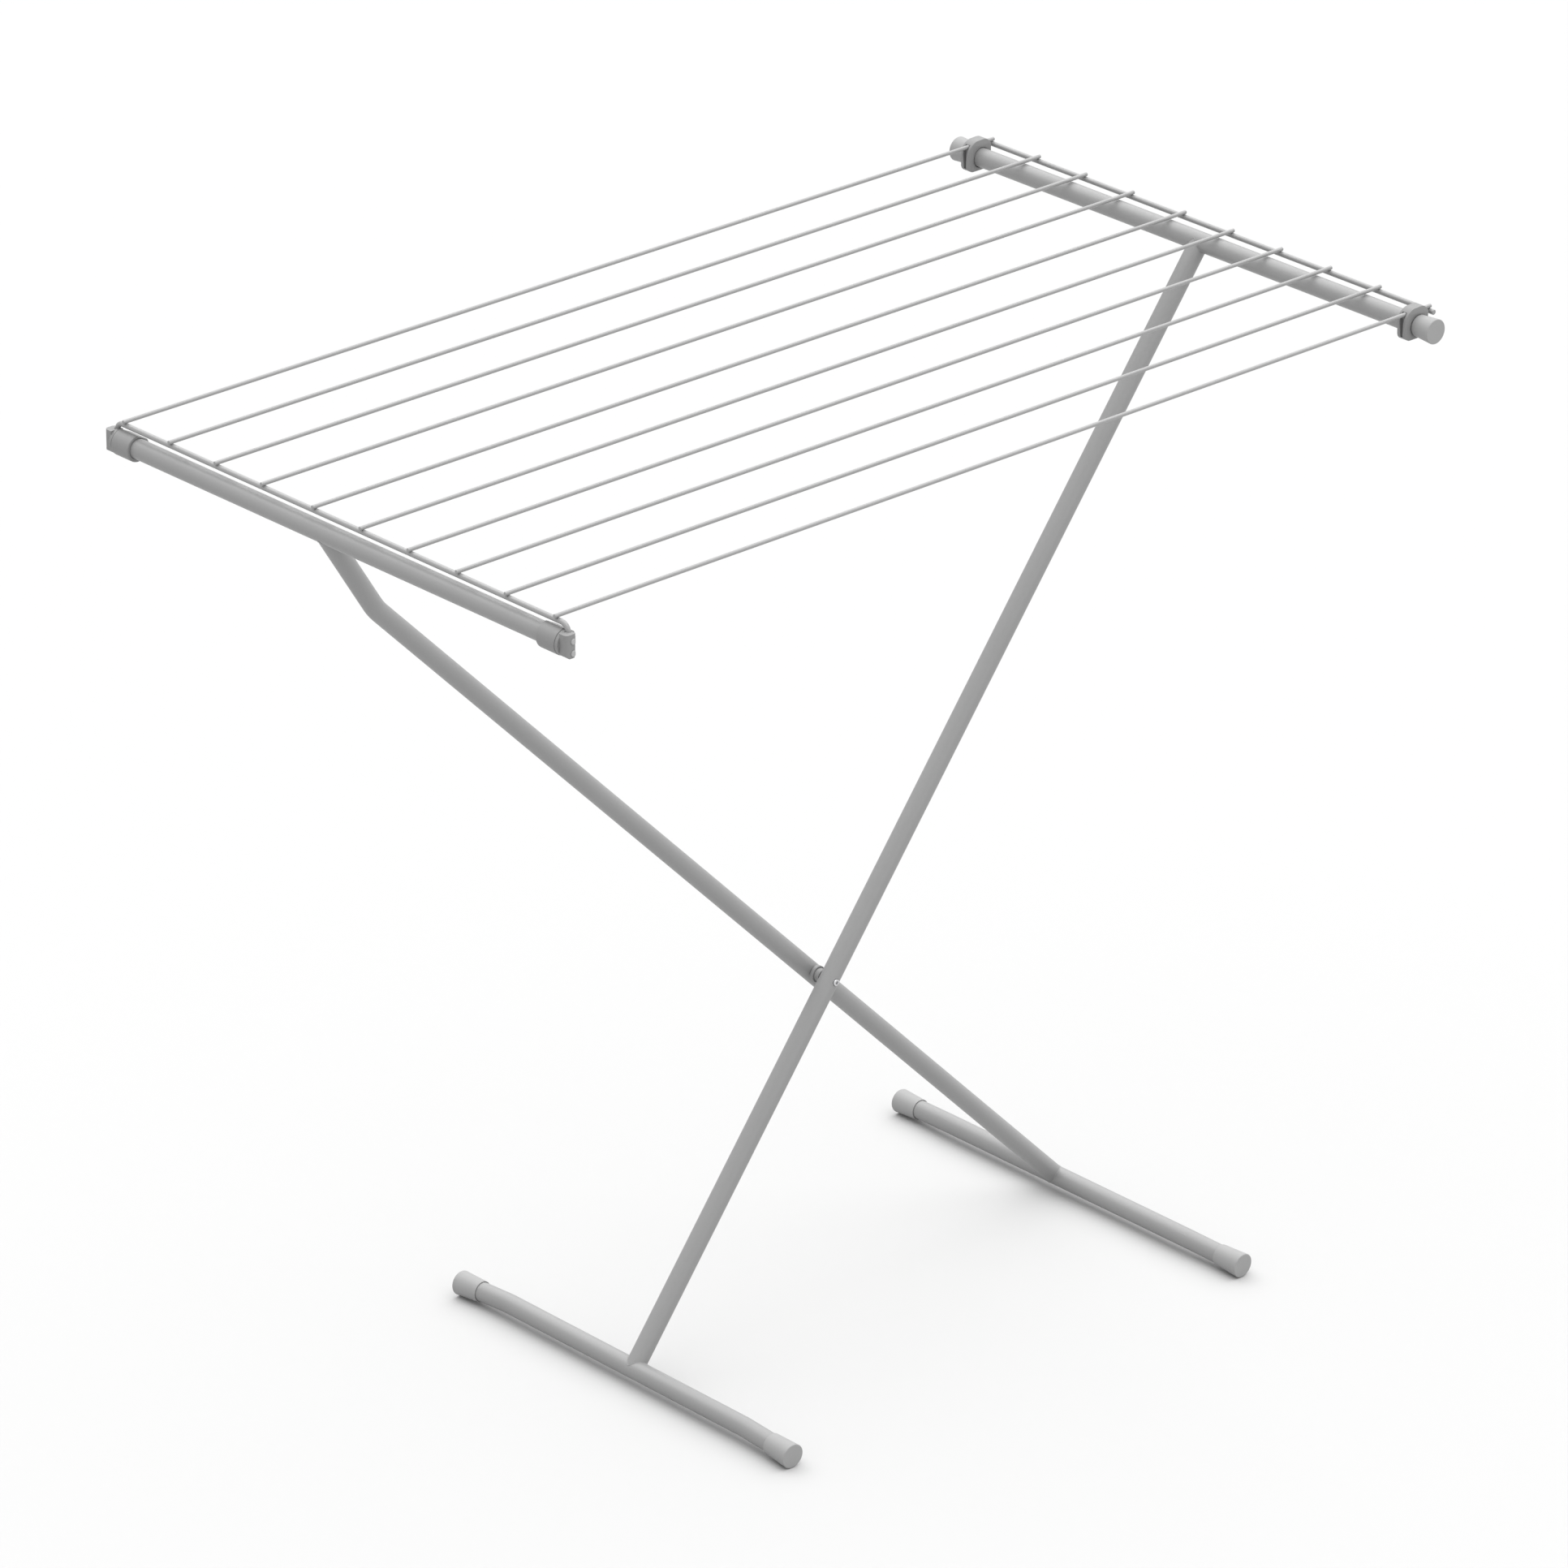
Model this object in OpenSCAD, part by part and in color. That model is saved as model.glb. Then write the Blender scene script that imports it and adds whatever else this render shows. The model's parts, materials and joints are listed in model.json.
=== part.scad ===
// Folding clothes drying rack: two crossing tube frames on one pivot, carrying a hinged wire top.
// +X runs along the drying wires from the hinge bar to the hook bar, +Y along the bars, +Z up.
// The origin lies on the floor at the centre of the footprint. Units are millimetres.

/* [Tubes] */
// Outer diameter of every frame tube
tube_d = 19; // [18.4:0.1:19.2]
// Wall thickness of the frame tubes
tube_wall = 1.2; // [0.9:0.1:1.6]
// Bend radius of the rear post near its top
post_bend_r = 60; // [50:5:80]
// Bend radius of the foot tubes
foot_bend_r = 150; // [120:10:180]

/* [Frame] */
// Lean of the front post from vertical, in degrees
front_lean = 36.91; // [36.5:0.1:37.3]
// Lean of the rear post from vertical below its bend, in degrees
rear_lean = 45.46; // [45.1:0.1:45.8]
// Lean of the rear post above its bend, in degrees
rear_top_lean = 32.69; // [32.3:0.1:33.1]
// Distance from the pivot to the bend in the rear post
rear_to_bend = 740.6; // [738:1:743]
// Height of the pivot above the floor
pivot_h = 339.85; // [339.8:0.01:339.9]
// Drop from the pivot to the foot tubes
foot_drop = 325.4; // [325.3:0.1:325.5]
// Rise from the pivot to the hinge bar
hinge_rise = 607.5; // [606:0.5:609]
// Rise from the pivot to the hook bar
hook_rise = 620.1; // [619:0.5:621]
// Sideways place of the front post's centreline
front_y = -11; // [-11.4:0.1:-10.8]
// Sideways place of the rear post's centreline
rear_y = 17; // [16.8:0.1:17.4]

/* [Feet and bars] */
// Half length of the front foot, over its end caps
front_foot_half = 232.4; // [225:1:240]
// Half length of the rear foot, over its end caps
rear_foot_half = 238.6; // [230:1:245]
// Half length of the straight middle of each foot
foot_mid_half = 165; // [155:1:170]
// Downward bend of the foot ends, in degrees
foot_bend = 2.99; // [2.97:0.01:3.01]
// Half length of the hook bar, over its end caps
hook_bar_half = 317.7; // [317:0.5:320]
// Outer radius of an end cap at its flat end
cap_r = 12.1; // [11.9:0.1:12.3]
// Outer radius of an end cap at its open rim
cap_rim_r = 10.4; // [10.2:0.1:10.8]
// Length of a foot cap
cap_len = 30; // [26:1:34]
// Length of a hook bar cap
bar_cap_len = 21.4; // [19:0.5:21.5]

/* [Wire top] */
// Diameter of the drying wires
wire_d = 3.8; // [3.4:0.1:4]
// Diameter of the two cross wires
cross_d = 5; // [4.6:0.1:5.2]
// Spacing of the drying wires
wire_pitch = 63.86; // [63:0.1:64]
// Wider gap between the fourth and the fifth wire
wire_gap = 69.6; // [69:0.1:70.5]
// Height of the wires above the hinge bar axis
wire_over_hinge = 22.0; // [21.9:0.1:22.4]
// Height of the wires above the hook bar axis
wire_over_hook = 12.5; // [12.4:0.1:12.7]
// Length of wire beyond the hook bar axis
wire_overhang = 20.9; // [20:0.1:23]

/* [Hinge sleeves] */
// Outer radius of a hinge sleeve
sleeve_r = 12.7; // [12.5:0.1:12.9]
// Inner radius of a hinge sleeve
sleeve_bore_r = 9.9; // [9.85:0.05:10.1]
// Distance from the middle to a sleeve's inner rim
sleeve_in = 275; // [272:1:278]
// Distance from the middle to a sleeve's closed end
sleeve_out = 298.3; // [298:0.1:298.6]
// Distance from the middle to the socket block's outer face
block_out = 311; // [310.5:0.1:311.5]

/* [Hooks] */
// Width of a hook along the bar
hook_w = 10.6; // [10:0.1:11]
// Radius of the saddle that sits on the hook bar
hook_saddle_r = 10.1; // [9.95:0.05:10.2]
// Direction in which the bar leaves the hook, in degrees from straight down
hook_exit = 24.6; // [24:0.2:26]

/* [Pivot] */
// Diameter of the pivot bolt
bolt_d = 6; // [5.9:0.05:6]
// Radius of the bolt head
bolt_head_r = 3.3; // [3.1:0.1:3.6]
// Radius of the pivot spacers
spacer_r = 8.2; // [7.8:0.1:8.6]

/* [Hidden] */

tube_r = tube_d / 2;
bore_r = tube_r - tube_wall;
wire_r = wire_d / 2;
cross_r = cross_d / 2;
fit = 0.02;

// bar positions relative to the pivot
hook_x = hook_rise * tan(front_lean);
front_foot_x = -foot_drop * tan(front_lean);
rear_foot_x = foot_drop * tan(rear_lean);
bend_x = -rear_to_bend * sin(rear_lean);
bend_z = rear_to_bend * cos(rear_lean);
hinge_x = bend_x - (hinge_rise - bend_z) * tan(rear_top_lean);
top_len = (hinge_rise - bend_z) / cos(rear_top_lean);
front_up = hook_rise / cos(front_lean);
front_down = foot_drop / cos(front_lean);
rear_down = foot_drop / cos(rear_lean);
bend_angle = rear_lean - rear_top_lean;

// the footprint's centre sits at x = 0
px = -((hinge_x - sleeve_r) + (hook_x + wire_overhang)) / 2;
pz = pivot_h;

// the wire top's own frame: origin on the hinge bar axis, x along the wires
span = hook_x - hinge_x;
grid_tilt = asin((hook_rise + wire_over_hook - hinge_rise - wire_over_hinge) / span);
wire_y = [for (i = [0:9]) 290.3 - wire_pitch * i - (i > 3 ? wire_gap - wire_pitch : 0)];
wire_from = -4.6;
wire_to = span / cos(grid_tilt) + wire_overhang;
hook_gx = span / cos(grid_tilt);
cross_a_x = -0.4;
cross_a_z = wire_over_hinge - wire_r - cross_r;
cross_b_x = hook_gx + 18.9;
cross_b_z = wire_over_hinge - wire_r - cross_r;
leg_y = 303.7;
leg_bend_r = 8.5;
cross_b_half = 296.8;
leg_low = -9;
hook_zoff = wire_over_hinge - wire_over_hook;

steel = [0.62, 0.62, 0.62];
wire_grey = [0.72, 0.72, 0.72];
plastic = [0.58, 0.58, 0.58];
dark = [0.45, 0.45, 0.46];

// -- helpers -------------------------------------------------------------

module at_pivot() { translate([px, 0, pz]) children(); }
module grid_frame() { at_pivot() translate([hinge_x, 0, hinge_rise]) rotate([0, -grid_tilt, 0]) children(); }
module along_y(y0, y1, r, fn = 64) { translate([0, y0, 0]) rotate([-90, 0, 0]) cylinder(h = y1 - y0, r = r, $fn = fn); }
module tube_z(z0, z1, r) { translate([0, 0, z0]) cylinder(h = z1 - z0, r = r, $fn = 64); }

// a rod of radius r along z from 0 to a, then bent by ang towards +x on radius R, then straight for b
module bent_rod(a, ang, R, b, r, fn = 64) {
    cylinder(h = a, r = r, $fn = fn);
    translate([R, 0, a]) rotate([90, 0, 0]) rotate([0, 0, 180 - ang]) rotate_extrude(angle = ang, $fn = 180) translate([R, 0]) circle(r = r, $fn = fn);
    translate([R, 0, a]) rotate([0, ang, 0]) translate([-R, 0, 0]) cylinder(h = b, r = r, $fn = fn);
}

// foot tube solid of radius r: straight middle, both ends bent down (local -z), ends at half
module foot_rod(half, r, extra = 0) {
    t = foot_bend_r * tan(foot_bend / 2);
    arm = half - foot_mid_half - t + extra;
    for (s = [1, -1])
        mirror([0, s < 0 ? 1 : 0, 0]) rotate([-90, 0, 0]) rotate([0, 0, 90]) bent_rod(foot_mid_half - t, foot_bend, foot_bend_r, arm, r);
}

// place children at a foot end: local +y along the end's axis, origin on the axis at distance s from the bend corner
module foot_end(s, d) {
    translate([0, s * foot_mid_half, 0]) rotate([s * -foot_bend, 0, 0]) translate([0, s * d, 0]) children();
}

// end cap along +y with its flat end at y = 0 and its open rim at y = -len
module end_cap(len) {
    e = 0.9;
    n = 6;
    out = [for (i = [0:n]) [cap_r - e + e * cos(90 - 90 * i / n), -e + e * sin(90 - 90 * i / n)]];
    rotate([-90, 0, 0]) rotate_extrude($fn = 96)
        polygon(concat([[0, 0]], out,
            [[cap_rim_r + 0.15, -len + 0.35], [cap_rim_r - 0.15, -len], [tube_r + 0.45, -len], [tube_r + 0.45, -len + 1.4],
             [tube_r + fit, -len + 2], [tube_r + fit, -2.2], [0, -2.2]]));
}

// -- front frame: straight post, front foot, hook bar --------------------

module front_post() color(steel) at_pivot() translate([0, front_y, 0]) rotate([0, front_lean, 0]) difference() {
    tube_z(-front_down, front_up, tube_r);
    tube_z(-front_down - 1, front_up + 1, bore_r);
    translate([0, 0, front_up]) along_y(-30, 30, tube_r + fit);
    translate([0, 0, -front_down]) along_y(-30, 30, tube_r + fit);
    along_y(-20, 20, bolt_d / 2 + 0.06, 32);
    // wider hole in the outer wall for the bolt head
    along_y(-20, 0, bolt_head_r + 0.35, 48);
}

module foot_tube(half) difference() {
    foot_rod(half - 2.6, tube_r);
    foot_rod(half - 2.6, bore_r, 1);
}

module front_foot_at() at_pivot() translate([front_foot_x, 0, -foot_drop]) rotate([0, front_lean, 0]) children();
module rear_foot_at() at_pivot() translate([rear_foot_x, 0, -foot_drop]) rotate([0, -rear_lean, 0]) children();

module front_foot() color(steel) front_foot_at() foot_tube(front_foot_half);
module rear_foot() color(steel) rear_foot_at() foot_tube(rear_foot_half);

module floor_cut() difference() {
    children();
    translate([-700, -400, -10]) cube([1400, 800, 10]);
}

module foot_cap(half, s) foot_end(s, half - foot_mid_half) mirror([0, s < 0 ? 1 : 0, 0]) end_cap(cap_len);

module front_foot_cap_near() color(plastic) floor_cut() front_foot_at() foot_cap(front_foot_half, -1);
module front_foot_cap_far() color(plastic) floor_cut() front_foot_at() foot_cap(front_foot_half, 1);
module rear_foot_cap_near() color(plastic) floor_cut() rear_foot_at() foot_cap(rear_foot_half, -1);
module rear_foot_cap_far() color(plastic) floor_cut() rear_foot_at() foot_cap(rear_foot_half, 1);

module hook_bar() color(steel) at_pivot() translate([hook_x, 0, hook_rise]) difference() {
    along_y(-hook_bar_half + 2.6, hook_bar_half - 2.6, tube_r);
    along_y(-hook_bar_half, hook_bar_half, bore_r);
}
module hook_bar_cap(s) at_pivot() translate([hook_x, s * hook_bar_half, hook_rise]) mirror([0, s < 0 ? 1 : 0, 0]) end_cap(bar_cap_len);
module hook_bar_cap_near() color(plastic) hook_bar_cap(-1);
module hook_bar_cap_far() color(plastic) hook_bar_cap(1);

// -- rear frame: bent post, rear foot, hinge bar -------------------------

module rear_post_rod(r, extra) {
    t = post_bend_r * tan(bend_angle / 2);
    translate([0, 0, -rear_down - extra]) bent_rod(rear_down + extra + rear_to_bend - t, bend_angle, post_bend_r, top_len - t + extra, r);
}
module rear_post() color(steel) at_pivot() translate([0, rear_y, 0]) rotate([0, -rear_lean, 0]) difference() {
    rear_post_rod(tube_r, 0);
    rear_post_rod(bore_r, 1);
    translate([0, 0, -rear_down]) along_y(-30, 30, tube_r + fit);
    translate([0, 0, rear_to_bend]) rotate([0, bend_angle, 0]) translate([0, 0, top_len]) along_y(-30, 30, tube_r + fit);
    along_y(-20, 20, bolt_d / 2 + 0.03, 32);
}

module hinge_bar() color(steel) at_pivot() translate([hinge_x, 0, hinge_rise]) difference() {
    along_y(-sleeve_out + 2.8, sleeve_out - 2.8, tube_r);
    along_y(-sleeve_out, sleeve_out, bore_r);
}

// -- pivot ---------------------------------------------------------------

split_y = 3.1;
module front_spacer() color(plastic) at_pivot() difference() {
    along_y(front_y + tube_r - 1.2, split_y - 0.15, spacer_r - 1.6);
    translate([0, front_y, 0]) rotate([0, front_lean, 0]) tube_z(-30, 30, tube_r + fit);
    along_y(-20, 20, bolt_d / 2 + 0.06, 32);
}
module rear_spacer() color(plastic) at_pivot() difference() {
    union() {
        translate([0, split_y + 0.15, 0]) rotate([-90, 0, 0]) rotate_extrude($fn = 96)
            polygon([[0, 0], [spacer_r - 0.5, 0], [spacer_r - 0.15, 0.15], [spacer_r, 0.5], [spacer_r, 3.4], [spacer_r - 0.5, 4], [spacer_r - 0.9, 4.2], [0, 4.2]]);
        along_y(split_y + 4, rear_y - tube_r + 2, spacer_r - 1.2);
    }
    translate([0, rear_y, 0]) rotate([0, -rear_lean, 0]) tube_z(-30, 30, tube_r + fit);
    along_y(-20, 20, bolt_d / 2 + 0.03, 32);
}
head_y = front_y - tube_r + 1.2;
nut_y = rear_y + tube_r + 1.2;
module pivot_bolt() color(dark) at_pivot() difference() {
    union() {
        // low domed head that sits in the front post's outer wall
        translate([0, head_y, 0]) rotate([90, 0, 0]) rotate_extrude($fn = 64)
            polygon([[0, 0], [bolt_head_r, 0], [bolt_head_r, 1.5], [bolt_head_r - 0.15, 1.85], [bolt_head_r - 0.5, 2.1],
                     [bolt_head_r - 1.0, 2.25], [0, 2.3]]);
        along_y(head_y, nut_y + 3.6, bolt_d / 2, 48);
    }
    translate([0, head_y - 3, 0]) rotate([-90, 0, 0]) cylinder(h = 2.9, r = 1.75, $fn = 6);
}
module pivot_washer() color(dark) at_pivot() difference() {
    along_y(rear_y + tube_r, nut_y, 6);
    along_y(rear_y, nut_y + 1, bolt_d / 2 + 0.15, 48);
}
module pivot_nut() color(dark) at_pivot() difference() {
    union() {
        translate([0, nut_y, 0]) rotate([-90, 0, 0]) cylinder(h = 4.6, r = 5.7, $fn = 6);
        translate([0, nut_y + 4.6, 0]) rotate([-90, 0, 0]) rotate_extrude($fn = 64)
            polygon(concat([[0, 0]], [for (a = [0:15:90]) [4.6 * cos(a), 3.6 * sin(a)]]));
    }
    along_y(nut_y - 1, nut_y + 4.4, bolt_d / 2 + 0.03, 48);
}

// -- wire top ------------------------------------------------------------

module wire(i) color(wire_grey) grid_frame() translate([wire_from, wire_y[i], wire_over_hinge]) rotate([0, 90, 0]) rotate_extrude($fn = 32)
    polygon([[0, 0], [wire_r - 0.35, 0], [wire_r, 0.35], [wire_r, wire_to - wire_from - 0.35], [wire_r - 0.35, wire_to - wire_from], [0, wire_to - wire_from]]);

module cross_wire_hinge() color(wire_grey) grid_frame() translate([cross_a_x, 0, cross_a_z])
    for (s = [1, -1]) mirror([0, s < 0 ? 1 : 0, 0]) rotate([-90, 0, 0]) rotate([0, 0, 90])
        bent_rod(leg_y - leg_bend_r, 90, leg_bend_r, cross_a_z - leg_bend_r - leg_low, cross_r, 40);

module cross_wire_hook() color(wire_grey) grid_frame() translate([cross_b_x, -cross_b_half, cross_b_z]) rotate([-90, 0, 0]) rotate_extrude($fn = 40)
    polygon([[0, 0], [cross_r - 0.4, 0], [cross_r, 0.4], [cross_r, 2 * cross_b_half - 0.4], [cross_r - 0.4, 2 * cross_b_half], [0, 2 * cross_b_half]]);

block_x0 = -9.6;
block_x1 = 1.9;
block_in = 302.2;
pin_x = -1.4;
pin_z = [-6.6, 4.6];

// bevel down the inner edge of the block's outer face, shared with the pins
module edge_cut() translate([-0.2, -block_out - 0.02, -15]) rotate([0, 0, 30]) translate([0, -6, 0]) cube([6, 6, 30]);

// sleeve with its closed end and socket block, built for the -y end
module sleeve_solid() difference() {
    union() {
        difference() {
            rotate([90, 0, 0]) rotate_extrude($fn = 96)
                polygon([[0, sleeve_in], [sleeve_r - 0.8, sleeve_in], [sleeve_r - 0.2, sleeve_in + 0.3], [sleeve_r, sleeve_in + 1],
                         [sleeve_r, sleeve_out - 0.4], [sleeve_r - 0.4, sleeve_out], [0, sleeve_out]]);
            // flat along the top, clear of the cross wire
            rotate([0, 27, 0]) translate([-20, -320, 10.8]) cube([40, 60, 10]);
        }
        // neck, cut back on the inner side
        intersection() {
            union() {
                along_y(-block_in, -sleeve_out - 0.5, 12.2, 96);
                along_y(-sleeve_out - 0.6, -sleeve_out + 0.2, 11.7, 96);
            }
            translate([-20, -320, -20]) cube([20 + block_x1, 40, 40]);
        }
        // socket block
        difference() {
            translate([0, -block_in + 0.4, 0]) rotate([90, 0, 0]) linear_extrude(height = block_out - block_in + 0.4) difference() {
                translate([block_x0, -10.9]) square([block_x1 - block_x0, 22.2]);
                // the lower edge follows the neck, the outer corner is round
                difference() {
                    translate([block_x0 - 1, -12]) square([9, 12]);
                    circle(r = 12.2, $fn = 96);
                }
                difference() {
                    translate([block_x1 - 3, -11]) square([4, 3.1]);
                    translate([block_x1 - 3, -7.9]) circle(r = 3, $fn = 48);
                }
            }
            // rounded outer corner
            difference() {
                translate([block_x0 - 1, -block_out - 1, -13]) cube([5, 5, 26]);
                translate([block_x0 + 4, -block_out + 4, -14]) cylinder(h = 28, r = 4, $fn = 48);
            }
            // chamfered lips round the top
            translate([block_x0 - 1, -block_out - 1, 11.3]) rotate([45, 0, 0]) cube([20, 1, 1.3]);
            edge_cut();
        }
    }
    // blind bore for the hinge bar
    along_y(-sleeve_out + 2.2, -sleeve_in + 1, sleeve_bore_r, 96);
    // socket for the cross wire's leg
    translate([cross_a_x, -leg_y, leg_low - 0.3]) cylinder(h = 30, r = cross_r + 0.25, $fn = 40);
    // pin holes
    for (z = pin_z) translate([pin_x, 0, z]) along_y(-block_out - 1, -block_out + 1.8, 1.32, 24);
}
module hinge_sleeve_near() color(plastic) grid_frame() sleeve_solid();
module hinge_sleeve_far() color(plastic) grid_frame() mirror([0, 1, 0]) sleeve_solid();

module sleeve_pins() difference() {
    for (z = pin_z) translate([pin_x, -block_out, z]) rotate([90, 0, 0]) rotate_extrude($fn = 48)
        polygon([[0, -1.6], [1.3, -1.6], [1.3, 0], [2.7, 0], [2.7, 0.7], [2.45, 1], [0, 1.05]]);
    edge_cut();
}
module sleeve_pins_near() color(dark) grid_frame() sleeve_pins();
module sleeve_pins_far() color(dark) grid_frame() mirror([0, 1, 0]) sleeve_pins();

// hook: a rigid saddle open downwards, with a tapered slot where the wire enters
hook_outline = concat(
    [[10.1, -6], [10.4, -7.2], [11.9, -7.2], [12.5, -6.4], [12.5, 11.4], [12.3, 12.2], [10.6, 14.2], [6.2, 17.7], [2, 18.3]],
    [for (a = [90:3:180]) [-4.2 + 13.3 * cos(a), 4.8 + 13.3 * sin(a)]],
    [for (a = [180:6:270]) [-11.5 + 6 * cos(a), -4 + 6 * sin(a)]],
    [[-2, -10]]);
mouth_x = -hook_saddle_r * cos(hook_exit);
mouth_z = hook_saddle_r * sin(hook_exit);
module hook_shape() difference() {
    linear_extrude(height = hook_w) polygon(hook_outline);
    translate([0, 0, -1]) cylinder(h = hook_w + 2, r = hook_saddle_r, $fn = 96);
    // mouth: straight down on the outer side, slanted along the bar's way out on the inner side
    translate([0, 0, -1]) linear_extrude(height = hook_w + 2)
        polygon([[mouth_x, mouth_z], [mouth_x - 30 * sin(hook_exit), mouth_z - 30 * cos(hook_exit)], [hook_saddle_r, -30], [hook_saddle_r, 0]]);
}
module hook_at(y) grid_frame() difference() {
    translate([hook_gx, y, hook_zoff]) rotate([0, grid_tilt, 0]) difference() {
        translate([0, hook_w / 2, 0]) rotate([90, 0, 0]) hook_shape();
        // entry slot on the inner face, wide at the wire and narrow at the tip
        translate([-19, 0, 0]) rotate([0, 90, 0]) linear_extrude(height = 6.2)
            polygon([[-15.4, -2.75], [-10.4, -2.75], [10, -1.2], [10, 1.2], [-10.4, 2.75], [-15.4, 2.75]]);
    }
    translate([hook_gx - 30, y, wire_over_hinge]) rotate([0, 90, 0]) cylinder(h = 60, r = wire_r + 0.03, $fn = 32);
}
module hook_near() color(plastic) hook_at(wire_y[9]);
module hook_far() color(plastic) hook_at(wire_y[0]);

module wire_01() wire(0);
module wire_02() wire(1);
module wire_03() wire(2);
module wire_04() wire(3);
module wire_05() wire(4);
module wire_06() wire(5);
module wire_07() wire(6);
module wire_08() wire(7);
module wire_09() wire(8);
module wire_10() wire(9);

front_post();
front_foot();
hook_bar();
front_foot_cap_near();
front_foot_cap_far();
hook_bar_cap_near();
hook_bar_cap_far();
front_spacer();
rear_post();
rear_foot();
hinge_bar();
rear_foot_cap_near();
rear_foot_cap_far();
rear_spacer();
pivot_bolt();
pivot_washer();
pivot_nut();
cross_wire_hinge();
cross_wire_hook();
wire_01();
wire_02();
wire_03();
wire_04();
wire_05();
wire_06();
wire_07();
wire_08();
wire_09();
wire_10();
hinge_sleeve_near();
hinge_sleeve_far();
sleeve_pins_near();
sleeve_pins_far();
hook_near();
hook_far();
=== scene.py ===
import json
import math

import bmesh
import bpy
from mathutils import Matrix, Vector


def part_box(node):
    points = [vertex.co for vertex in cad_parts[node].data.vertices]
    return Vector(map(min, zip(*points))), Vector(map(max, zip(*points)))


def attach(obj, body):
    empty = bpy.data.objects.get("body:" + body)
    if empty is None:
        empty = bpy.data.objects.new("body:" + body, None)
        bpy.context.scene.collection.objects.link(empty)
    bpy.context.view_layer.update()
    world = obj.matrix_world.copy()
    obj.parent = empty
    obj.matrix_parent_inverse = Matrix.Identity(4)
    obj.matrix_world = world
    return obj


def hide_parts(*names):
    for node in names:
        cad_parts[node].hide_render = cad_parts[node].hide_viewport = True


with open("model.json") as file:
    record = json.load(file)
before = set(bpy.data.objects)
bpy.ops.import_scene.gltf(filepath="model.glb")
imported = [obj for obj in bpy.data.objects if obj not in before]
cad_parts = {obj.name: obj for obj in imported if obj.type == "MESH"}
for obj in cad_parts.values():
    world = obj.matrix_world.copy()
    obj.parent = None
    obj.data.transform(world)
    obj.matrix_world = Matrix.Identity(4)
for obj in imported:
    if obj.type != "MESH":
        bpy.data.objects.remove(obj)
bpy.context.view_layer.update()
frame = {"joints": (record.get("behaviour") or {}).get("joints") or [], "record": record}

bpy.context.scene.view_settings.view_transform = "Standard"

# ---------------------------------------------------------------- camera
JOINT = {j["name"]: j for j in frame["joints"]}
PIVOT = Vector(JOINT["leg_fold"]["pos_m"])
cam_data = bpy.data.cameras.new("camera")
cam = bpy.data.objects.new("camera", cam_data)
bpy.context.scene.collection.objects.link(cam)
right = Vector((0.73493463, -0.67807624, 0.00914926))
up = Vector((0.2742046, 0.30948285, 0.91051205))
fwd = Vector((0.62022813, 0.66665807, -0.41338129))
loc = Vector((-5.53205, -5.89231, 3.86570)) + PIVOT
m = Matrix.Identity(4)
for i in range(3):
    m[i][0] = right[i]
    m[i][1] = up[i]
    m[i][2] = -fwd[i]
    m[i][3] = loc[i]
cam.matrix_world = m
cam_data.type = "PERSP"
cam_data.sensor_width = 36.0
cam_data.lens = 11787.614 / 1932.0 * 36.0
cam_data.clip_start = 0.05
cam_data.clip_end = 200.0
bpy.context.scene.camera = cam


# ---------------------------------------------------------------- materials
def new_material(name):
    mat = bpy.data.materials.new(name)
    mat.use_nodes = True
    nt = mat.node_tree
    bsdf = next(n for n in nt.nodes if n.type == "BSDF_PRINCIPLED")
    return mat, nt, bsdf


def noise(nt, coord, scale, detail=2.0, rough=0.5):
    n = nt.nodes.new("ShaderNodeTexNoise")
    n.inputs["Scale"].default_value = scale
    n.inputs["Detail"].default_value = detail
    n.inputs["Roughness"].default_value = rough
    nt.links.new(coord, n.inputs["Vector"])
    return n.outputs["Fac"]


def remap(nt, value, lo, hi, a=0.3, b=0.7):
    r = nt.nodes.new("ShaderNodeMapRange")
    r.inputs["From Min"].default_value = a
    r.inputs["From Max"].default_value = b
    r.inputs["To Min"].default_value = lo
    r.inputs["To Max"].default_value = hi
    nt.links.new(value, r.inputs["Value"])
    return r.outputs["Result"]


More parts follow.
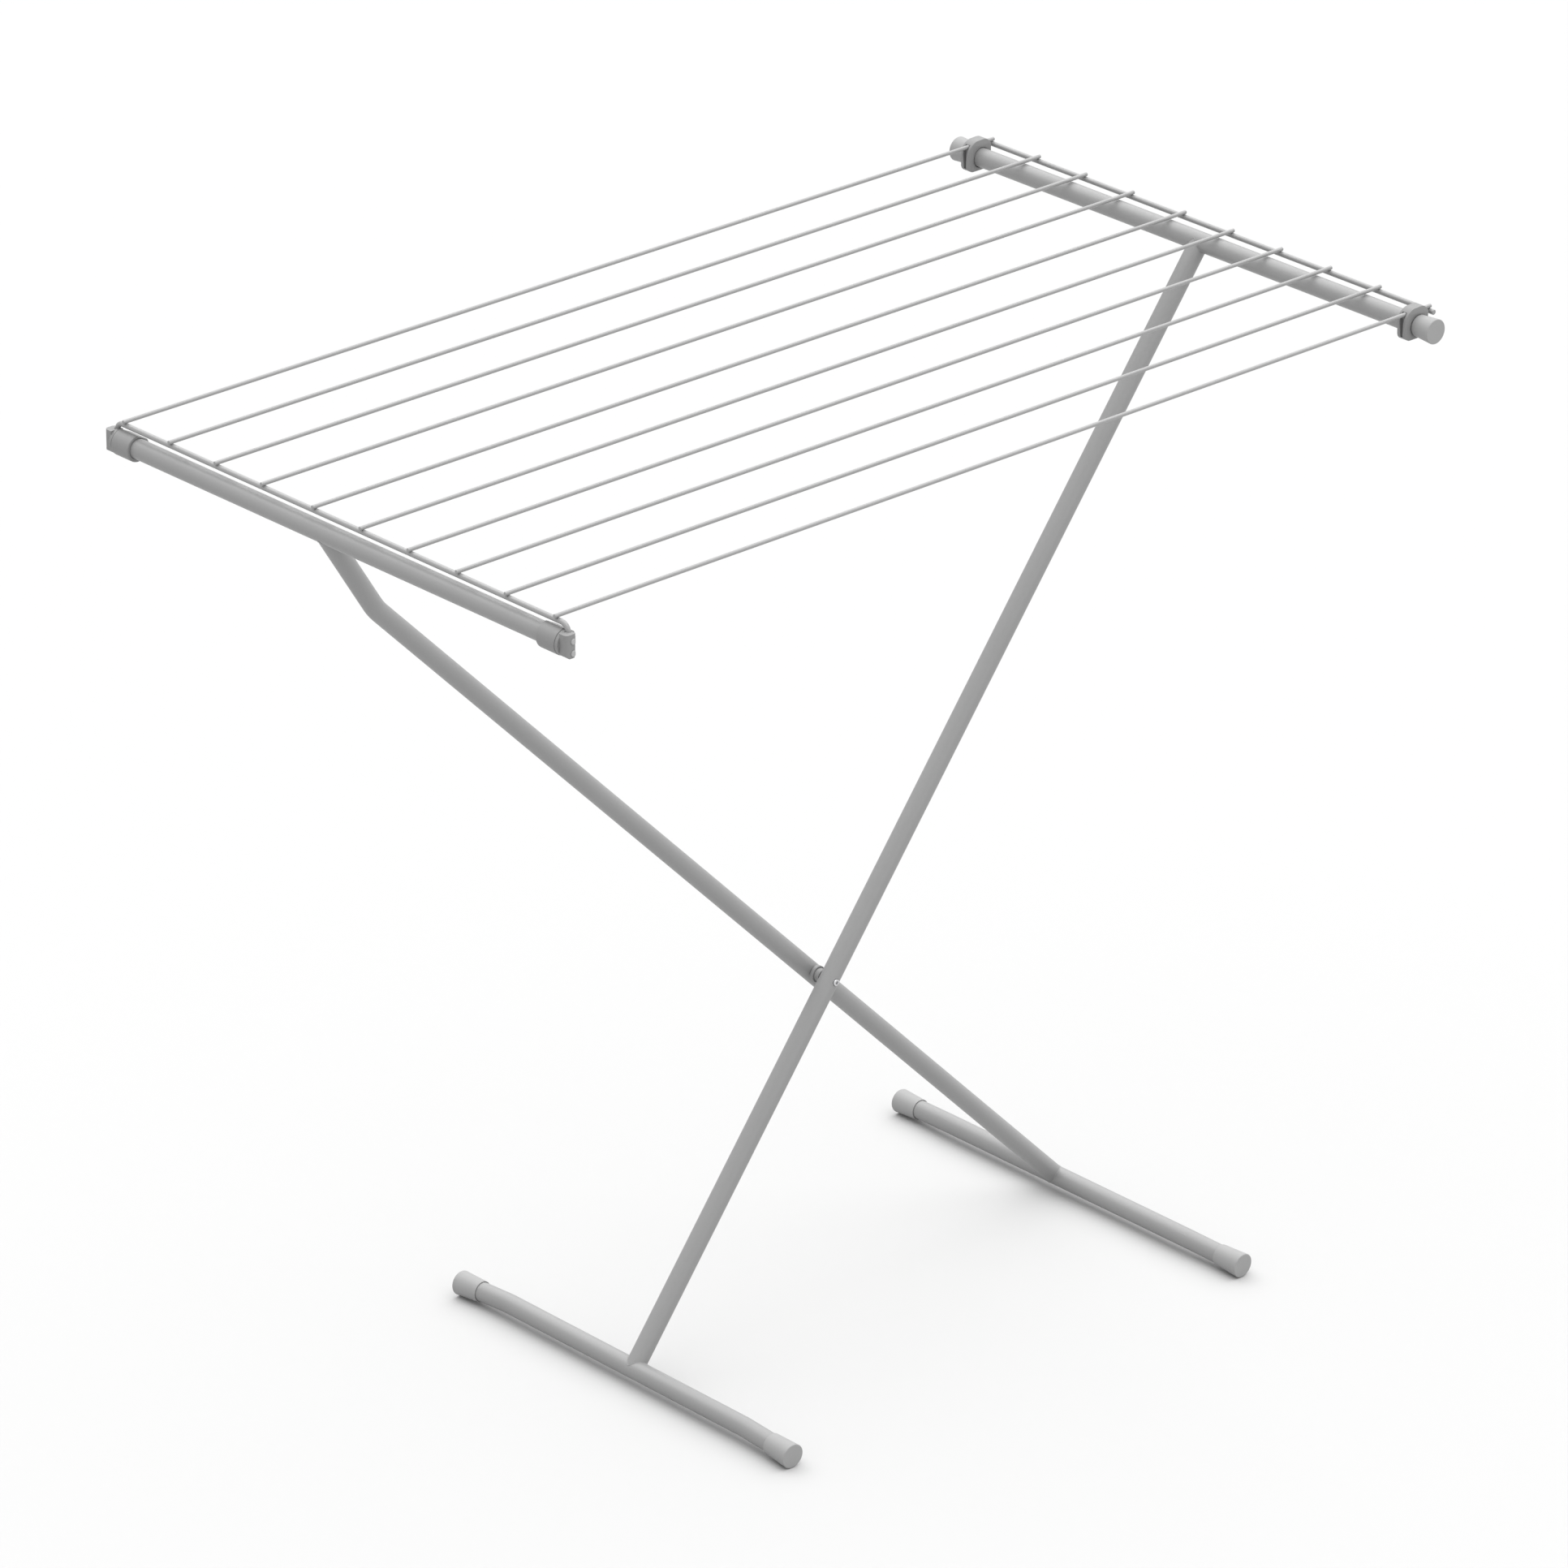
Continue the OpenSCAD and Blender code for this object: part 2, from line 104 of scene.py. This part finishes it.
def surface(name, colour, spread, rough, rough_spread, grain, grain_h, broad=7.0, metallic=0.0,
            coat=0.0, coat_rough=0.2, spec=0.5, second=None, second_h=0.0, stretch=None):
    """A grey finish: slow colour drift, fine roughness mottle and a fine bump, all in object space."""
    mat, nt, bsdf = new_material(name)
    tc = nt.nodes.new("ShaderNodeTexCoord")
    coord = tc.outputs["Object"]
    if stretch:
        mp = nt.nodes.new("ShaderNodeMapping")
        mp.inputs["Scale"].default_value = stretch
        nt.links.new(coord, mp.inputs["Vector"])
        fine_coord = mp.outputs["Vector"]
    else:
        fine_coord = coord
    drift = noise(nt, coord, broad, 3.0)
    speck = noise(nt, fine_coord, grain * 0.6, 2.0)
    both = nt.nodes.new("ShaderNodeMath")
    both.operation = "ADD"
    nt.links.new(remap(nt, drift, -0.6, 0.6), both.inputs[0])
    nt.links.new(remap(nt, speck, -0.4, 0.4), both.inputs[1])
    ramp = nt.nodes.new("ShaderNodeMix")
    ramp.data_type = "RGBA"
    lo = [c * (1 - spread) for c in colour]
    hi = [min(1, c * (1 + spread)) for c in colour]
    ramp.inputs["A"].default_value = (*lo, 1)
    ramp.inputs["B"].default_value = (*hi, 1)
    nt.links.new(remap(nt, both.outputs[0], 0, 1, -1, 1), ramp.inputs["Factor"])
    nt.links.new(ramp.outputs["Result"], bsdf.inputs["Base Color"])
    nt.links.new(remap(nt, noise(nt, fine_coord, grain * 0.35, 2.0), rough - rough_spread, rough + rough_spread), bsdf.inputs["Roughness"])
    bump = nt.nodes.new("ShaderNodeBump")
    bump.inputs["Strength"].default_value = 1.0
    bump.inputs["Distance"].default_value = grain_h
    nt.links.new(noise(nt, fine_coord, grain, 2.0), bump.inputs["Height"])
    out = bump.outputs["Normal"]
    if second:
        b2 = nt.nodes.new("ShaderNodeBump")
        b2.inputs["Strength"].default_value = 1.0
        b2.inputs["Distance"].default_value = second_h
        nt.links.new(noise(nt, coord, second, 1.0), b2.inputs["Height"])
        nt.links.new(out, b2.inputs["Normal"])
        out = b2.outputs["Normal"]
    nt.links.new(out, bsdf.inputs["Normal"])
    bsdf.inputs["Metallic"].default_value = metallic
    bsdf.inputs["Specular IOR Level"].default_value = spec
    bsdf.inputs["Coat Weight"].default_value = coat
    bsdf.inputs["Coat Roughness"].default_value = coat_rough
    return mat


GREY = 0.24
MAT = {
    # powder coat: smooth with a fine orange peel
    "tube": surface("powder_coat_tube", (GREY, GREY, GREY), 0.03, 0.42, 0.05, 900, 0.00004, second=260, second_h=0.00006, spec=0.45),
    "wire": surface("powder_coat_wire", (0.265, 0.265, 0.265), 0.03, 0.36, 0.05, 1200, 0.00003, spec=0.5),
    "cap": surface("moulded_cap", (0.275, 0.275, 0.275), 0.025, 0.55, 0.05, 2200, 0.00003, broad=25, spec=0.4),
    "moulding": surface("moulded_fitting", (0.21, 0.21, 0.21), 0.025, 0.52, 0.05, 2200, 0.00003, broad=25, spec=0.4),
    "spacer": surface("moulded_spacer", (0.215, 0.215, 0.215), 0.025, 0.55, 0.05, 2200, 0.00003, broad=25, spec=0.4),
    "fastener": surface("plated_steel", (0.60, 0.60, 0.61), 0.05, 0.28, 0.05, 1500, 0.00002, broad=60, metallic=0.85),
    "pin": surface("moulded_pin", (0.34, 0.34, 0.34), 0.02, 0.5, 0.05, 2200, 0.00002, broad=25, spec=0.4),
}
slot_of = {s["node"]: s["material_slot"] for s in frame["record"]["subparts"]}
for node, slot in slot_of.items():
    ob = bpy.data.objects.get(node)
    if ob is None or ob.type != "MESH":
        continue
    if not ob.material_slots:
        ob.data.materials.append(MAT[slot])
    for ms in ob.material_slots:
        ms.material = MAT[slot]

# ---------------------------------------------------------------- added pieces
AX = Vector(JOINT["grid_hinge"]["pos_m"])          # hinge bar axis
BB = Vector([(a + b) / 2 for a, b in zip(*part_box("hook_bar"))])  # hook bar axis
MM = 0.001


def add_piece(name, bm, mat, body, smooth=True):
    me = bpy.data.meshes.new(name)
    bm.to_mesh(me)
    bm.free()
    if smooth:
        for p in me.polygons:
            p.use_smooth = True
    ob = bpy.data.objects.new(name, me)
    bpy.context.scene.collection.objects.link(ob)
    me.materials.append(mat)
    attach(ob, body)
    return ob


def sweep(bm, pts, radii, closed=True, sides=10, flat=None):
    """A tube of varying radius along a list of points."""
    n = len(pts)
    rings = []
    prev = None
    for i, p in enumerate(pts):
        q0 = pts[(i - 1) % n] if closed or i else p
        q1 = pts[(i + 1) % n] if closed or i < n - 1 else p
        t = (q1 - q0).normalized()
        if prev is None:
            prev = t.orthogonal().normalized()
        side = (prev - t * prev.dot(t)).normalized()
        prev = side
        other = t.cross(side)
        ring = [bm.verts.new(p + (side * math.cos(a) + other * math.sin(a)) * radii[i])
                for a in (2 * math.pi * k / sides for k in range(sides))]
        rings.append(ring)
    for i in range(n if closed else n - 1):
        r0, r1 = rings[i], rings[(i + 1) % n]
        off = 0
        if closed and i == n - 1:
            off = min(range(sides), key=lambda o: (r0[0].co - r1[o].co).length)
        for k in range(sides):
            bm.faces.new((r0[k], r0[(k + 1) % sides], r1[(k + 1 + off) % sides], r1[(k + off) % sides]))


def saddle_bead(name, centre, direction, y, body, r=9.52 * MM, bead=0.42 * MM):
    """Weld bead where a post's coped end meets a cross tube of the same size. direction points from the cross tube along the post."""
    d = Vector(direction).normalized()
    u = Vector((-d.z, 0, d.x))
    bm = bmesh.new()
    pts, radii = [], []
    n = 120
    for i in range(n):
        a = 2 * math.pi * i / n
        t = r * abs(math.sin(a))
        p = Vector((centre.x, y, centre.z)) + u * (r * math.cos(a)) + Vector((0, r * math.sin(a), 0)) + d * t
        pts.append(p)
        radii.append(bead * (1 + 0.10 * math.sin(23 * a) + 0.06 * math.sin(41 * a + 1.3)))
    # ease the two pinched corners
    for _ in range(2):
        pts = [(pts[i - 1] + pts[i] * 2 + pts[(i + 1) % n]) / 4 for i in range(n)]
    sweep(bm, pts, radii)
    return add_piece(name, bm, MAT["tube"], body)


def box_mid(node):
    lo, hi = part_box(node)
    return (Vector(lo) + Vector(hi)) / 2


front_lean, rear_lean, rear_top = (math.radians(v) for v in (36.91, 45.46, 32.69))
front_foot_c = PIVOT + Vector((-325.4 * math.tan(front_lean), 0, -325.4)) * MM
rear_foot_c = PIVOT + Vector((325.4 * math.tan(rear_lean), 0, -325.4)) * MM
front_dir = Vector((math.sin(front_lean), 0, math.cos(front_lean)))
rear_dir = Vector((-math.sin(rear_lean), 0, math.cos(rear_lean)))
top_dir = Vector((-math.sin(rear_top), 0, math.cos(rear_top)))
saddle_bead("weld_front_foot", front_foot_c, front_dir, -0.011, "front_frame")
saddle_bead("weld_hook_bar", BB, -front_dir, -0.011, "front_frame")
saddle_bead("weld_rear_foot", rear_foot_c, rear_dir, 0.017, "rear_frame")
saddle_bead("weld_hinge_bar", AX, -top_dir, 0.017, "rear_frame")

# spot welds where each wire rests on a cross wire: a small concave neck of metal
WIRE_R, CROSS_R = 1.9 * MM, 2.5 * MM
cross = {"hinge": box_mid("cross_wire_hinge"), "hook": box_mid("cross_wire_hook")}
ch_lo, ch_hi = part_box("cross_wire_hinge")
ck_lo, ck_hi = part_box("cross_wire_hook")
cross_line = {"hinge": ((ch_lo[0] + ch_hi[0]) / 2, ch_hi[2] - CROSS_R), "hook": ((ck_lo[0] + ck_hi[0]) / 2, ck_hi[2] - CROSS_R)}
bm = bmesh.new()
for i in range(1, 11):
    lo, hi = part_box("wire_%02d" % i)
    y = (lo[1] + hi[1]) / 2
    for k, (cx, cz) in cross_line.items():
        contact = cz + CROSS_R
        rings = []
        for j in range(9):
            h = -1.5 + 3.0 * j / 8
            rad = (0.95 + 0.75 * (h / 1.5) ** 2 + 0.05 * math.sin(7.1 * i + 3 * j)) * MM
            ring = []
            for q in range(20):
                a = 2 * math.pi * q / 20
                # wider along whichever rod it is nearer
                ex = 1.25 if h > 0 else 0.9
                ey = 0.9 if h > 0 else 1.25
                ring.append(bm.verts.new((cx + rad * ex * math.cos(a), y + rad * ey * math.sin(a), contact + h * MM)))
            rings.append(ring)
        for j in range(8):
            for q in range(20):
                bm.faces.new((rings[j][q], rings[j][(q + 1) % 20], rings[j + 1][(q + 1) % 20], rings[j + 1][q]))
        bm.faces.new(list(reversed(rings[0])))
        bm.faces.new(rings[-1])
add_piece("wire_spot_welds", bm, MAT["wire"], "grid")


# hooks: full moulded shape with the jaw that springs round the bar
def arc(cx, cz, r, a0, a1, step):
    n = max(2, int(abs(a1 - a0) / step))
    return [(cx + r * math.cos(math.radians(a0 + (a1 - a0) * i / n)), cz + r * math.sin(math.radians(a0 + (a1 - a0) * i / n))) for i in range(n + 1)]


def hook_profile():
    r = 10.1
    outer = [(12.5, 4.2), (12.5, 11.2)]
    outer += [(12.35, 12.0), (11.6, 13.0), (9.9, 15.0), (8.0, 16.7), (6.4, 17.6), (4.4, 18.1), (2.0, 18.3)]
    outer += arc(-4.2, 4.8, 13.3, 88, 180, 3)
    outer += [(-17.3, -3.0)]
    outer += arc(-10.6, -5.9, 6.6, 182, 270, 5)
    outer += [(-6, -12.5), (0, -12.5), (3.0, -12.4), (3.9, -11.9), (4.0, -11.0), (3.6, -10.0), (3.2, -9.58)]
    inner = [p for p in arc(0, 0, r, 288, 24, 4)][::1]
    inner += [(10.3, 4.1), (11.2, 3.5), (12.1, 3.5)]
    return outer + inner


def make_hook(name, y, node, side):
    bm = bmesh.new()
    prof = hook_profile()
    w = 5.3
    rows = []
    # rounded edges: the profile is drawn in slightly at both faces
    steps = [(-w, 0.30), (-w + 0.09, 0.09), (-w + 0.30, 0.0), (w - 0.30, 0.0), (w - 0.09, 0.09), (w, 0.30)]
    n = len(prof)
    normals = []
    for i in range(n):
        x0, z0 = prof[i - 1]
        x1, z1 = prof[(i + 1) % n]
        t = Vector((x1 - x0, z1 - z0))
        t = t.normalized() if t.length > 1e-9 else Vector((1, 0))
        normals.append(Vector((t.y, -t.x)))
    area2 = sum(prof[i - 1][0] * prof[i][1] - prof[i][0] * prof[i - 1][1] for i in range(n))
    sgn = -1 if area2 > 0 else 1
    for yy, inset in steps:
        rows.append([bm.verts.new(((prof[i][0] + sgn * normals[i].x * inset) * MM + BB.x, yy * MM + y, (prof[i][1] + sgn * normals[i].y * inset) * MM + BB.z)) for i in range(n)])
    for a, b in zip(rows, rows[1:]):
        for i in range(n):
            bm.faces.new((a[i - 1], a[i], b[i], b[i - 1]))
    bm.faces.new(rows[0])
    bm.faces.new(rows[-1])
    bmesh.ops.recalc_face_normals(bm, faces=bm.faces)
    ob = add_piece(name, bm, MAT["moulding"], "grid", smooth=False)
    # cutter: wire hole, wide entry and tapered slot
    cb = bmesh.new()
    slot = [(-2.85, 15.6), (2.85, 15.6), (2.85, 10.4), (1.5, -9.0), (-1.5, -9.0), (-2.85, 10.4)]
    front = [cb.verts.new(((-20) * MM + BB.x, sy * MM + y, sz * MM + BB.z)) for sy, sz in slot]
    back = [cb.verts.new(((-12.9 if sz > 0 else -14.6) * MM + BB.x, sy * MM + y, sz * MM + BB.z)) for sy, sz in slot]
    for i in range(6):
        cb.faces.new((front[i - 1], front[i], back[i], back[i - 1]))
    cb.faces.new(front)
    cb.faces.new(back)
    bmesh.ops.recalc_face_normals(cb, faces=cb.faces)
    me = bpy.data.meshes.new("cut")
    cb.to_mesh(me)
    cb.free()
    cut = bpy.data.objects.new("cut", me)
    bpy.context.scene.collection.objects.link(cut)
    mod = ob.modifiers.new("slot", "BOOLEAN")
    mod.operation = "DIFFERENCE"
    mod.object = cut
    mod.solver = "EXACT"
    bpy.context.view_layer.update()
    dg = bpy.context.evaluated_depsgraph_get()
    done = bpy.data.meshes.new_from_object(ob.evaluated_get(dg))
    ob.modifiers.clear()
    ob.data = done
    bpy.data.objects.remove(cut)
    if not done.materials:
        done.materials.append(MAT["moulding"])
    for p in done.polygons:
        p.use_smooth = True
    done.set_sharp_from_angle(angle=math.radians(38))
    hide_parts(node)
    return ob


for node in ("hook_near", "hook_far"):
    lo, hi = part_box(node)
    make_hook(node + "_moulding", (lo[1] + hi[1]) / 2, node, 1)

# ---------------------------------------------------------------- floor and light
floor_mat, nt, bsdf = new_material("studio_floor")
bsdf.inputs["Base Color"].default_value = (0.47, 0.47, 0.47, 1)
bsdf.inputs["Roughness"].default_value = 0.9
bsdf.inputs["Specular IOR Level"].default_value = 0.1
bpy.ops.mesh.primitive_plane_add(size=400, location=(0, 0, -0.0006))
floor = bpy.context.object
floor.name = "studio_floor"
floor.data.materials.append(floor_mat)

world = bpy.data.worlds.new("studio")
bpy.context.scene.world = world
world.use_nodes = True
bg = world.node_tree.nodes["Background"]
bg.inputs["Color"].default_value = (1, 1, 1, 1)
bg.inputs["Strength"].default_value = 0.85


def sun(name, direction, strength, angle):
    d = bpy.data.lights.new(name, "SUN")
    d.energy = strength
    d.angle = math.radians(angle)
    o = bpy.data.objects.new(name, d)
    o.rotation_euler = Vector(direction).to_track_quat("-Z", "Y").to_euler()
    bpy.context.scene.collection.objects.link(o)
    return o


# direction is the way the light travels
sun("sky_light", (-0.25, -0.2, -1.0), 4.0, 100)
sun("front_light", (-0.05, 0.95, -0.3), 0.55, 60)
